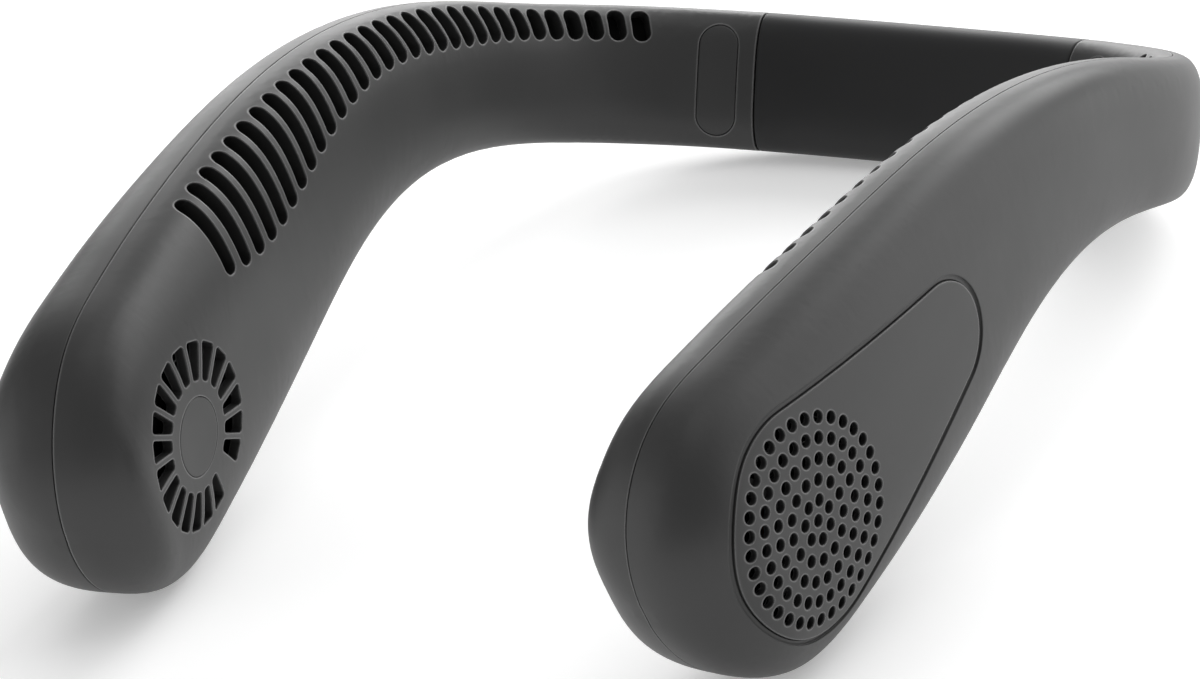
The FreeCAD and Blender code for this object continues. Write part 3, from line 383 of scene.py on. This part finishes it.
def board_laminate():
    """Glass-epoxy board under black solder mask, with tracks showing as raised lines."""
    material, tree, surface, place = new_material("glass_epoxy_masked")
    tracks = add_node(tree, "ShaderNodeTexBrick", {"offset": 0.37}, {
        "Vector": place, "Color1": (1.0, 1.0, 1.0, 1.0), "Color2": (0.9, 0.9, 0.9, 1.0),
        "Mortar": (0.3, 0.3, 0.3, 1.0), "Scale": 1.0 / finish().board_tracks,
        "Mortar Size": 0.06})
    base = finish().board_colour
    tint = add_node(tree, "ShaderNodeMix", {"data_type": "RGBA"}, {
        0: tracks.outputs["Fac"], 6: opaque(base, 0.7), 7: opaque(base)})
    bump = add_node(tree, "ShaderNodeBump", inputs={
        "Strength": 0.3, "Distance": 5e-05, "Height": tracks.outputs["Fac"]})
    shader = add_node(tree, "ShaderNodeBsdfPrincipled", inputs={
        "Base Color": tint.outputs[2], "Roughness": 0.3, "IOR": 1.5, "Normal": bump.outputs["Normal"]})
    tree.links.new(shader.outputs["BSDF"], surface)
    return material


def light_guide():
    """Clear polycarbonate with a frosted end that spreads the light behind it."""
    material, tree, surface, place = new_material("polycarbonate_frosted")
    # The frost is finer on the real guide and is drawn coarser so that it shows.
    frost = add_node(tree, "ShaderNodeTexNoise", inputs={
        "Vector": place, "Scale": 1.0 / finish().guide_frost})
    gloss = add_node(tree, "ShaderNodeMapRange", inputs={
        "Value": frost.outputs["Fac"], "To Min": 0.25, "To Max": 0.45})
    shader = add_node(tree, "ShaderNodeBsdfPrincipled", inputs={
        "Base Color": opaque(finish().guide_colour), "Roughness": gloss.outputs["Result"], "IOR": 1.58,
        "Transmission Weight": 0.6})
    tree.links.new(shader.outputs["BSDF"], surface)
    return material


def pale_floor():
    """Painted studio floor: pale and matt, with a faint roller texture."""
    material, tree, surface, place = new_material("studio_paint_matt")
    roller = add_node(tree, "ShaderNodeTexNoise", inputs={
        "Vector": place, "Scale": 1.0 / stage_sizes().floor_grain, "Detail": 2.0})
    bump = add_node(tree, "ShaderNodeBump", inputs={
        "Strength": 0.02, "Distance": 1e-04, "Height": roller.outputs["Fac"]})
    shader = add_node(tree, "ShaderNodeBsdfPrincipled", inputs={
        "Base Color": opaque(stage_sizes().floor_colour), "Roughness": 0.85,
        "Normal": bump.outputs["Normal"], "Emission Color": opaque(stage_sizes().floor_colour),
        "Emission Strength": stage_sizes().floor_glow})
    tree.links.new(shader.outputs["BSDF"], surface)
    return material


def dress(names, material):
    """Give carried-over nodes a material and smooth shading up to their real edges."""
    for name in names:
        node = NODES[name]
        node.data.materials.clear()
        node.data.materials.append(material)
        node.data.polygons.foreach_set("use_smooth", [True] * len(node.data.polygons))
        weld = node.modifiers.new("Weld", "WELD")
        weld.merge_threshold = WELD_DISTANCE
        split = node.modifiers.new("Edges", "EDGE_SPLIT")
        split.split_angle = EDGE_ANGLE
        even = node.modifiers.new("Even normals", "WEIGHTED_NORMAL")
        even.mode = "FACE_AREA"
        even.weight = 100


def both_sides(*pieces):
    return [f"{side}_{piece}" for piece in pieces for side in SIDES]


# Pieces


class NECKFAN_OT_dress_shells(bpy.types.Operator):
    """Finish the arm shells, intake covers, hub caps, screw covers and the button"""

    bl_idname = "neckfan.dress_shells"
    bl_label = "Dress Shells"

    def execute(self, context):
        dress(both_sides("inner_shell", "intake_cover"), highlighted_abs())
        dress(both_sides("outer_shell", "hub_cap", "screw_cover") + ["power_button"], charcoal_abs())
        return {"FINISHED"}


class NECKFAN_OT_dress_mouldings(bpy.types.Operator):
    """Finish the blower wheels and the black mouldings inside the arms"""

    bl_idname = "neckfan.dress_mouldings"
    bl_label = "Dress Mouldings"

    def execute(self, context):
        frames = both_sides("fan_scroll", "duct_divider", "band_anchor", "motor_base")
        dress(both_sides("impeller"), glossy_nylon())
        dress(frames + ["tact_switch"], black_abs())
        return {"FINISHED"}


class NECKFAN_OT_dress_metalwork(bpy.types.Operator):
    """Finish the motors, the screws and the charging port"""

    bl_idname = "neckfan.dress_metalwork"
    bl_label = "Dress Metalwork"

    def execute(self, context):
        turned = both_sides("rotor_cup", "motor_shaft", "anchor_screws", "case_screws")
        dress(turned + ["usb_port", "board_screws"], plated_steel())
        dress(both_sides("motor_bush"), sintered_bronze())
        dress(both_sides("motor_stator"), enamelled_copper())
        return {"FINISHED"}


class NECKFAN_OT_dress_electrics(bpy.types.Operator):
    """Finish the cells, the board and the status lights"""

    bl_idname = "neckfan.dress_electrics"
    bl_label = "Dress Electrics"

    def execute(self, context):
        dress(both_sides("battery_cell"), cell_film())
        dress(["control_board"], board_laminate())
        dress(["status_lights"], light_guide())
        return {"FINISHED"}


PATH_SIZES = ("straight", "bend_radius", "corner", "corner_turn", "tilt", "height", "depth", "steps")
SLEEVE_SIZES = ("reach", "half_height", "half_thickness", "wall", "lip", "corner_share", "points")
STRIP_SIZES = ("strip_reach", "strip_height", "strip_thickness")
LEAD_SIZES = ("lead_reach", "lead_height", "lead_radius", "lead_points")


def tree_inputs(tree, keys):
    """Give a tree one named input for each of the band's sizes in keys, and its node of inputs."""
    for key in keys:
        prop = NeckFanBand.bl_rna.properties[key]
        kind = "NodeSocketInt" if prop.type == "INT" else "NodeSocketFloat"
        tree.interface.new_socket(prop.name, in_out="INPUT", socket_type=kind)
    tree.interface.new_socket("Side", in_out="INPUT", socket_type="NodeSocketFloat")
    tree.interface.new_socket("Material", in_out="INPUT", socket_type="NodeSocketMaterial")
    tree.interface.new_socket("Half", in_out="OUTPUT", socket_type="NodeSocketGeometry")
    return add_node(tree, "NodeGroupInput").outputs


def band_path(tree, sizes, reach):
    """Centre line of half the band: a line whose heading turns slowly, then into the corner."""
    step = add_node(tree, "ShaderNodeMath", {"operation": "DIVIDE"}, {0: reach, 1: PATH_POINTS - 1.0})
    place = add_node(tree, "ShaderNodeMath", {"operation": "ADD"}, {
        0: add_node(tree, "GeometryNodeInputIndex").outputs["Index"], 1: 0.5})
    run = add_node(tree, "ShaderNodeMath", {"operation": "MULTIPLY"}, {
        0: place.outputs[0], 1: step.outputs[0]})
    bend = add_node(tree, "ShaderNodeMath", {"operation": "DIVIDE"}, {
        0: run.outputs[0], 1: sizes["Bend radius"]})
    corner_end = add_node(tree, "ShaderNodeMath", {"operation": "ADD"}, {
        0: sizes["Straight"], 1: sizes["Corner"]})
    corner = add_node(tree, "ShaderNodeMapRange", {"interpolation_type": "SMOOTHSTEP"}, {
        "Value": run.outputs[0], "From Min": sizes["Straight"], "From Max": corner_end.outputs[0],
        "To Max": sizes["Corner turn"]})
    turn = add_node(tree, "ShaderNodeMath", {"operation": "ADD"}, {
        0: bend.outputs[0], 1: corner.outputs["Result"]})
    back = add_node(tree, "ShaderNodeMath", {"operation": "MULTIPLY"}, {0: turn.outputs[0], 1: -1.0})
    heading = add_node(tree, "ShaderNodeCombineXYZ", inputs={
        "X": add_node(tree, "ShaderNodeMath", {"operation": "COSINE"}, {0: back.outputs[0]}).outputs[0],
        "Y": add_node(tree, "ShaderNodeMath", {"operation": "SINE"}, {0: back.outputs[0]}).outputs[0]})
    stride = add_node(tree, "ShaderNodeVectorMath", {"operation": "SCALE"}, {
        "Vector": heading.outputs["Vector"], "Scale": step.outputs[0]})
    sums = add_node(tree, "GeometryNodeAccumulateField", {"data_type": "FLOAT_VECTOR"}, {
        0: stride.outputs["Vector"]})
    line = add_node(tree, "GeometryNodeMeshLine", inputs={"Count": PATH_POINTS})
    placed = add_node(tree, "GeometryNodeSetPosition", inputs={
        "Geometry": line.outputs["Mesh"], "Position": sums.outputs["Trailing"]})
    curve = add_node(tree, "GeometryNodeMeshToCurve", inputs={"Mesh": placed.outputs["Geometry"]})
    return curve.outputs["Curve"]


def sleeve_walk(tree, sizes, across):
    """Run along the path and depth below the outside, for a walk over the outside, lip, end and inside.

    across is the grid's place from -0.5 to 0.5, of which each stretch takes its share.
    """
    lip_starts, end_starts, inside_starts = 0.2, 0.3, 0.4
    shaft = add_node(tree, "ShaderNodeMath", {"operation": "SUBTRACT"}, {
        0: sizes["Reach"], 1: sizes["Lip"]})
    outside = add_node(tree, "ShaderNodeMapRange", inputs={
        "Value": across, "From Min": -0.5, "From Max": lip_starts, "To Max": shaft.outputs[0]})
    lip_turn = add_node(tree, "ShaderNodeMapRange", inputs={
        "Value": across, "From Min": lip_starts, "From Max": end_starts, "To Max": math.pi / 2.0})
    inside = add_node(tree, "ShaderNodeMapRange", inputs={
        "Value": across, "From Min": inside_starts, "From Max": 0.5, "To Max": sizes["Reach"]})
    lip_sine = add_node(tree, "ShaderNodeMath", {"operation": "SINE"}, {0: lip_turn.outputs["Result"]})
    lip_run = add_node(tree, "ShaderNodeMath", {"operation": "MULTIPLY_ADD"}, {
        0: lip_sine.outputs[0], 1: sizes["Lip"], 2: outside.outputs["Result"]})
    run = add_node(tree, "ShaderNodeMath", {"operation": "SUBTRACT"}, {
        0: lip_run.outputs[0], 1: inside.outputs["Result"]})
    lip_cosine = add_node(tree, "ShaderNodeMath", {"operation": "COSINE"}, {0: lip_turn.outputs["Result"]})
    lip_fall = add_node(tree, "ShaderNodeMath", {"operation": "SUBTRACT"}, {
        0: 1.0, 1: lip_cosine.outputs[0]})
    end_depth = add_node(tree, "ShaderNodeMath", {"operation": "SUBTRACT"}, {
        0: sizes["Wall"], 1: sizes["Lip"]})
    end = add_node(tree, "ShaderNodeMapRange", inputs={
        "Value": across, "From Min": end_starts, "From Max": inside_starts, "To Max": end_depth.outputs[0]})
    inset = add_node(tree, "ShaderNodeMath", {"operation": "MULTIPLY_ADD"}, {
        0: lip_fall.outputs[0], 1: sizes["Lip"], 2: end.outputs["Result"]})
    return run.outputs[0], inset.outputs[0]


def sleeve_section(tree, sizes, around, inset):
    """Outward and upward offsets round a rounded box: the powers of its two shares add up to one."""
    exponent = add_node(tree, "ShaderNodeMath", {"operation": "LOGARITHM"}, {
        0: 0.5, 1: sizes["Corner share"]}).outputs[0]
    turn = add_node(tree, "ShaderNodeMath", {"operation": "MULTIPLY"}, {0: around, 1: 2.0 * math.pi})
    powers, sides = [], []
    for operation in ("COSINE", "SINE"):
        side = add_node(tree, "ShaderNodeMath", {"operation": operation}, {0: turn.outputs[0]})
        size = add_node(tree, "ShaderNodeMath", {"operation": "ABSOLUTE"}, {0: side.outputs[0]})
        powers.append(add_node(tree, "ShaderNodeMath", {"operation": "POWER"}, {
            0: size.outputs[0], 1: exponent}).outputs[0])
        sides.append(side.outputs[0])
    total = add_node(tree, "ShaderNodeMath", {"operation": "ADD"}, {0: powers[0], 1: powers[1]})
    root = add_node(tree, "ShaderNodeMath", {"operation": "DIVIDE"}, {0: -1.0, 1: exponent})
    stretch = add_node(tree, "ShaderNodeMath", {"operation": "POWER"}, {
        0: total.outputs[0], 1: root.outputs[0]})
    offsets = []
    for side, size in zip(sides, ("Half thickness", "Half height")):
        left = add_node(tree, "ShaderNodeMath", {"operation": "SUBTRACT"}, {0: sizes[size], 1: inset})
        share = add_node(tree, "ShaderNodeMath", {"operation": "MULTIPLY"}, {
            0: side, 1: stretch.outputs[0]})
        offsets.append(add_node(tree, "ShaderNodeMath", {"operation": "MULTIPLY"}, {
            0: share.outputs[0], 1: left.outputs[0]}).outputs[0])
    return offsets


def sleeve_form(tree, sizes):
    """A grid bent round the path: along it the outside, the lip, the end and the inside again."""
    path = band_path(tree, sizes, sizes["Reach"])
    grid = add_node(tree, "GeometryNodeMeshGrid", inputs={
        "Size X": 1.0, "Size Y": 1.0, "Vertices X": sizes["Steps"], "Vertices Y": sizes["Points"]})
    flat = add_node(tree, "ShaderNodeSeparateXYZ", inputs={
        "Vector": add_node(tree, "GeometryNodeInputPosition").outputs["Position"]})
    run, inset = sleeve_walk(tree, sizes, flat.outputs["X"])
    outwards, upwards = sleeve_section(tree, sizes, flat.outputs["Y"], inset)
    sample = add_node(tree, "GeometryNodeSampleCurve", {"mode": "LENGTH", "use_all_curves": True}, {
        "Curves": path, "Length": run})
    out = add_node(tree, "ShaderNodeVectorRotate", {"rotation_type": "Z_AXIS"}, {
        "Vector": sample.outputs["Tangent"], "Angle": math.pi / 2.0})
    outward = add_node(tree, "ShaderNodeVectorMath", {"operation": "SCALE"}, {
        "Vector": out.outputs["Vector"], "Scale": outwards})
    upward = add_node(tree, "ShaderNodeCombineXYZ", inputs={"Z": upwards})
    offset = add_node(tree, "ShaderNodeVectorMath", {"operation": "ADD"}, {
        0: outward.outputs["Vector"], 1: upward.outputs["Vector"]})
    point = add_node(tree, "ShaderNodeVectorMath", {"operation": "ADD"}, {
        0: sample.outputs["Position"], 1: offset.outputs["Vector"]})
    bent = add_node(tree, "GeometryNodeSetPosition", inputs={
        "Geometry": grid.outputs["Mesh"], "Position": point.outputs["Vector"]})
    # The grid faces into the band.
    turned = add_node(tree, "GeometryNodeFlipFaces", inputs={"Mesh": bent.outputs["Geometry"]})
    return turned.outputs["Mesh"]


def swept(tree, sizes, path, profile):
    """Closed bar with a profile that is carried along a path."""
    even = add_node(tree, "GeometryNodeResampleCurve", inputs={"Curve": path, "Count": sizes["Steps"]})
    bar = add_node(tree, "GeometryNodeCurveToMesh", inputs={
        "Curve": even.outputs["Curve"], "Profile Curve": profile.outputs["Curve"], "Fill Caps": True})
    return bar.outputs["Mesh"]


def strip_form(tree, sizes):
    """Flat bar that stands on edge along the path."""
    profile = add_node(tree, "GeometryNodeCurvePrimitiveQuadrilateral", inputs={
        "Width": sizes["Strip thickness"], "Height": sizes["Strip height"]})
    return swept(tree, sizes, band_path(tree, sizes, sizes["Strip reach"]), profile)


def lead_form(tree, sizes):
    """Round bar that follows the path above the strip."""
    above = add_node(tree, "ShaderNodeCombineXYZ", inputs={"Z": sizes["Lead height"]})
    raised = add_node(tree, "GeometryNodeSetPosition", inputs={
        "Geometry": band_path(tree, sizes, sizes["Lead reach"]), "Offset": above.outputs["Vector"]})
    profile = add_node(tree, "GeometryNodeCurvePrimitiveCircle", inputs={
        "Resolution": sizes["Lead points"], "Radius": sizes["Lead radius"]})
    return swept(tree, sizes, raised.outputs["Geometry"], profile)


def band_tree(name, keys, form):
    """Tree that makes half of one of the band's pieces, on one side and leaning as the fan lies."""
    tree = bpy.data.node_groups.new(name, "GeometryNodeTree")
    sizes = tree_inputs(tree, (*PATH_SIZES, *keys))
    mirrored = add_node(tree, "FunctionNodeCompare", {"operation": "LESS_THAN"}, {0: sizes["Side"], 1: 0.0})
    turned = add_node(tree, "GeometryNodeFlipFaces", inputs={
        "Mesh": form(tree, sizes), "Selection": mirrored.outputs["Result"]})
    lean = add_node(tree, "ShaderNodeMath", {"operation": "MULTIPLY"}, {0: sizes["Tilt"], 1: -1.0})
    laid = add_node(tree, "GeometryNodeTransform", inputs={
        "Geometry": turned.outputs["Mesh"],
        "Translation": add_node(tree, "ShaderNodeCombineXYZ", inputs={
            "Y": sizes["Depth"], "Z": sizes["Height"]}).outputs["Vector"],
        "Rotation": add_node(tree, "ShaderNodeCombineXYZ", inputs={"X": lean.outputs[0]}).outputs["Vector"],
        "Scale": add_node(tree, "ShaderNodeCombineXYZ", inputs={
            "X": sizes["Side"], "Y": 1.0, "Z": 1.0}).outputs["Vector"]})
    closed = add_node(tree, "GeometryNodeMergeByDistance", inputs={
        "Geometry": laid.outputs["Geometry"], "Distance": WELD_DISTANCE})
    smooth = add_node(tree, "GeometryNodeSetShadeSmooth", inputs={"Geometry": closed.outputs["Geometry"]})
    corner = add_node(tree, "FunctionNodeCompare", {"operation": "GREATER_THAN"}, {
        0: add_node(tree, "GeometryNodeInputMeshEdgeAngle").outputs["Unsigned Angle"], 1: EDGE_ANGLE})
    edged = add_node(tree, "GeometryNodeSetShadeSmooth", {"domain": "EDGE"}, {
        "Geometry": smooth.outputs["Geometry"], "Selection": corner.outputs["Result"],
        "Shade Smooth": False})
    real = add_node(tree, "GeometryNodeRealizeInstances", inputs={"Geometry": edged.outputs["Geometry"]})
    dyed = add_node(tree, "GeometryNodeSetMaterial", inputs={
        "Geometry": real.outputs["Geometry"], "Material": sizes["Material"]})
    add_node(tree, "NodeGroupOutput", inputs={"Half": dyed.outputs["Geometry"]})
    return tree


def band_half(name, side, tree, material):
    """Half of one of the band's pieces, made by its tree and kept as a plain mesh."""
    maker = bpy.data.objects.new("band_maker", bpy.data.meshes.new("band_maker"))
    bpy.context.scene.collection.objects.link(maker)
    modifier = maker.modifiers.new("Band", "NODES")
    modifier.node_group = tree
    sizes = band_sizes()
    values = {prop.name: getattr(sizes, key) for key, prop in sizes.bl_rna.properties.items()
              if key not in ("rna_type", "name")}
    values.update({"Side": side, "Material": material})
    for item in tree.interface.items_tree:
        if item.in_out == "INPUT":
            modifier[item.identifier] = values[item.name]
    evaluated = maker.evaluated_get(bpy.context.evaluated_depsgraph_get())
    mesh = bpy.data.meshes.new_from_object(evaluated)
    mesh.name = name
    mesh.materials.clear()
    mesh.materials.append(material)
    maker.modifiers.remove(modifier)
    bpy.data.objects.remove(maker)
    piece = bpy.data.objects.new(name, mesh)
    bpy.context.scene.collection.objects.link(piece)
    return piece


def bend_with_arm(piece):
    """Bake a half's placement into its mesh."""
    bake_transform(piece)


class NECKFAN_OT_make_band(bpy.types.Operator):
    """Make the band's sleeve, spring strip and lead as halves, one for each side"""

    bl_idname = "neckfan.make_band"
    bl_label = "Make Band"

    def execute(self, context):
        rubber = silicone()
        sleeve = band_tree("neck_sleeve", SLEEVE_SIZES, sleeve_form)
        strip = band_tree("spring_strip", STRIP_SIZES, strip_form)
        lead = band_tree("arm_lead", LEAD_SIZES, lead_form)
        steel = spring_steel()
        for side, sign in zip(SIDES, (-1.0, 1.0)):
            piece = band_half(f"{side}_sleeve_half", sign, sleeve, rubber)
            bend_with_arm(piece)
            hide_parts("neck_sleeve")
            piece = band_half(f"{side}_strip_half", sign, strip, steel)
            bend_with_arm(piece)
            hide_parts("spring_strip")
            piece = band_half(f"{side}_lead_half", sign, lead, rubber)
            bend_with_arm(piece)
            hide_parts("arm_lead")
        return {"FINISHED"}


# Stage


def aim(obj, place, target, roll=0.0):
    """Put a lamp or camera at a place, looking at a target."""
    back = (place - target).normalized()
    right = Vector((0.0, 0.0, 1.0)).cross(back).normalized()
    up = back.cross(right)
    turned = right * math.cos(roll) + up * math.sin(roll)
    above = back.cross(turned)
    obj.matrix_world = Matrix((
        (turned.x, above.x, back.x, place.x),
        (turned.y, above.y, back.y, place.y),
        (turned.z, above.z, back.z, place.z),
        (0.0, 0.0, 0.0, 1.0)))


def direction(azimuth, elevation):
    """Unit vector at a turn from the front towards the right, and a height above the table."""
    level = math.cos(elevation)
    return Vector((math.sin(azimuth) * level, -math.cos(azimuth) * level, math.sin(elevation)))


def soft_light(name, watts, azimuth, elevation):
    """Square area light that looks at the fan's middle from a turn and a height in degrees."""
    sizes = stage_sizes()
    lamp = bpy.data.lights.new(name, "AREA")
    lamp.shape = "SQUARE"
    lamp.size = sizes.light_size
    lamp.energy = watts
    obj = bpy.data.objects.new(name, lamp)
    bpy.context.scene.collection.objects.link(obj)
    away = direction(math.radians(azimuth), math.radians(elevation)) * sizes.light_distance
    aim(obj, FAN_MIDDLE + away, FAN_MIDDLE)


class NECKFAN_OT_set_stage(bpy.types.Operator):
    """Set the pale floor, the soft lights and the photograph's camera"""

    bl_idname = "neckfan.set_stage"
    bl_label = "Set Stage"

    def execute(self, context):
        sizes = stage_sizes()
        builder = bmesh.new()
        bmesh.ops.create_grid(builder, x_segments=1, y_segments=1, size=FLOOR_HALF_WIDTH)
        mesh = bpy.data.meshes.new("floor")
        builder.to_mesh(mesh)
        builder.free()
        floor = bpy.data.objects.new("floor", mesh)
        floor.data.materials.append(pale_floor())
        context.scene.collection.objects.link(floor)

        world = bpy.data.worlds.new("studio")
        world.use_nodes = True
        sky = world.node_tree.nodes["Background"]
        sky.inputs["Color"].default_value = (1.0, 1.0, 1.0, 1.0)
        sky.inputs["Strength"].default_value = sizes.sky_strength
        context.scene.world = world
        context.scene.view_settings.view_transform = "Standard"

        for name, (azimuth, elevation) in LIGHTS.items():
            soft_light(f"{name}_light", getattr(sizes, f"{name}_power"), azimuth, elevation)

        target = Vector((sizes.target_x, sizes.target_y, sizes.target_z))
        data = bpy.data.cameras.new("photo_camera")
        data.lens = sizes.lens
        data.sensor_width = FRAME_WIDTH_MM
        data.clip_end = CAMERA_SIGHT
        camera = bpy.data.objects.new("photo_camera", data)
        context.scene.collection.objects.link(camera)
        aim(camera, target + direction(sizes.azimuth, sizes.elevation) * sizes.distance, target, sizes.roll)
        context.scene.camera = camera
        return {"FINISHED"}


class NECKFAN_PT_panel(bpy.types.Panel):
    """Sidebar panel that lists the neck fan's steps"""

    bl_idname = "NECKFAN_PT_panel"
    bl_label = "Neck Fan"
    bl_space_type = "VIEW_3D"
    bl_region_type = "UI"
    bl_category = "Neck Fan"

    def draw(self, context):
        for operator in OPERATORS:
            self.layout.operator(operator.bl_idname)
        for name in GROUPS:
            group = getattr(context.scene, name)
            box = self.layout.box()
            for key in group.bl_rna.properties.keys():
                if key not in ("rna_type", "name"):
                    box.prop(group, key)


OPERATORS = (
    NECKFAN_OT_dress_shells,
    NECKFAN_OT_dress_mouldings,
    NECKFAN_OT_dress_metalwork,
    NECKFAN_OT_dress_electrics,
    NECKFAN_OT_make_band,
    NECKFAN_OT_set_stage,
)
GROUPS = {"neck_fan_finish": NeckFanFinish, "neck_fan_band": NeckFanBand, "neck_fan_stage": NeckFanStage}
CLASSES = (*GROUPS.values(), *OPERATORS, NECKFAN_PT_panel)


def register():
    for cls in CLASSES:
        bpy.utils.register_class(cls)
    for name, group in GROUPS.items():
        setattr(bpy.types.Scene, name, PointerProperty(type=group))


def unregister():
    for name in GROUPS:
        delattr(bpy.types.Scene, name)
    for cls in reversed(CLASSES):
        bpy.utils.unregister_class(cls)


def main():
    register()
    bpy.ops.neckfan.dress_shells()
    bpy.ops.neckfan.dress_mouldings()
    bpy.ops.neckfan.dress_metalwork()
    bpy.ops.neckfan.dress_electrics()
    bpy.ops.neckfan.make_band()
    bpy.ops.neckfan.set_stage()


if __name__ == "__main__":
    main()
